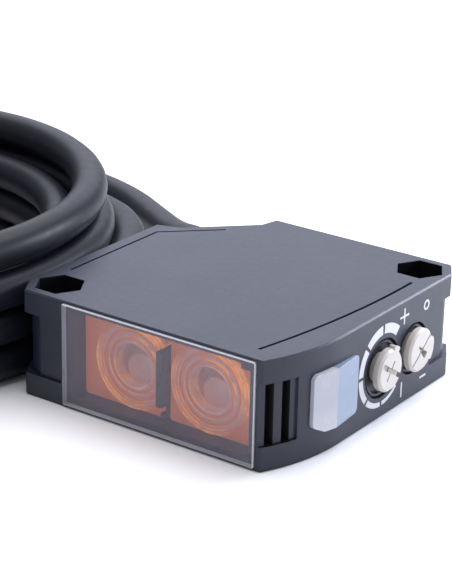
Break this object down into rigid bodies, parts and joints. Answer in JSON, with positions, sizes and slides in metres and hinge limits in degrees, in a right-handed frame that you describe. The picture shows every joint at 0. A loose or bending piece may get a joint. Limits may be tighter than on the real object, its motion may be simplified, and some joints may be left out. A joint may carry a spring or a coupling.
{
  "type": "photoelectric sensor",
  "caption": "Square photoelectric sensor with a front lens window, side adjusters and a coiled pre-wired cable.",
  "frame": {"origin": "centre of the two mounting holes, on the base face that the sensor lies on", "axes": "+Z through the body's thickness, up from the base; -Y out of the lens window; +X out of the side with the adjusters"},
  "size_m": [0.1446, 0.1177, 0.024],
  "materials": {
    "case": "satin",
    "rubber": "matte",
    "window": "gloss",
    "lens": "gloss",
    "chip": "matte",
    "tin": "satin",
    "board": "satin",
    "steel": "satin",
    "indicator": "gloss",
    "control": "satin",
    "knob": "satin",
    "cable": "matte",
    "wire_brown": "satin",
    "wire_blue": "satin",
    "wire_black": "satin",
    "wire_white": "satin"
  },
  "bodies": {
    "body": {"amplifier_chip": "chip", "board_header": "chip", "board_screws": "steel", "cable_bush": "rubber", "cable_clamp": "chip", "cable_coil": "cable", "cable_inner": "cable", "cable_lead": "cable", "cable_tail": "cable", "case": "case", "chip_capacitors": "chip", "chip_resistors": "chip", "clamp_screws": "steel", "controller_chip": "chip", "core_black": "wire_black", "core_blue": "wire_blue", "core_brown": "wire_brown", "core_tips": "tin", "core_white": "wire_white", "cover": "case", "cover_gasket": "rubber", "emitter_led": "lens", "emitter_lens": "lens", "filter_capacitors": "tin", "header_pins": "tin", "indicator_window": "indicator", "inner_wire_black": "wire_black", "inner_wire_blue": "wire_blue", "inner_wire_brown": "wire_brown", "inner_wire_white": "wire_white", "lens_holder": "case", "lens_window": "window", "light_barrier": "case", "main_board": "board", "mode_switch": "control", "optics_board": "board", "output_led": "lens", "output_transistors": "chip", "receiver_lens": "lens", "receiver_photodiode": "chip", "receiver_shield": "tin", "sensitivity_trimmer": "control", "stability_led": "lens", "surge_diodes": "chip", "window_seal": "rubber"},
    "sensitivity": {"sensitivity_clip": "steel", "sensitivity_knob": "knob", "sensitivity_rotor": "control", "sensitivity_seal": "rubber"},
    "mode": {"mode_clip": "steel", "mode_knob": "knob", "mode_rotor": "control", "mode_seal": "rubber"}
  },
  "joints": [
    {"name": "sensitivity_turn", "type": "hinge", "parent": "body", "child": "sensitivity", "pos_m": [0.025, 0.0014, 0.00825], "axis": [1, 0, 0], "range_deg": [-7, 233]},
    {"name": "mode_turn", "type": "hinge", "parent": "body", "child": "mode", "pos_m": [0.025, 0.0104, 0.0085], "axis": [1, 0, 0], "range_deg": [-112, 4]}
  ]
}
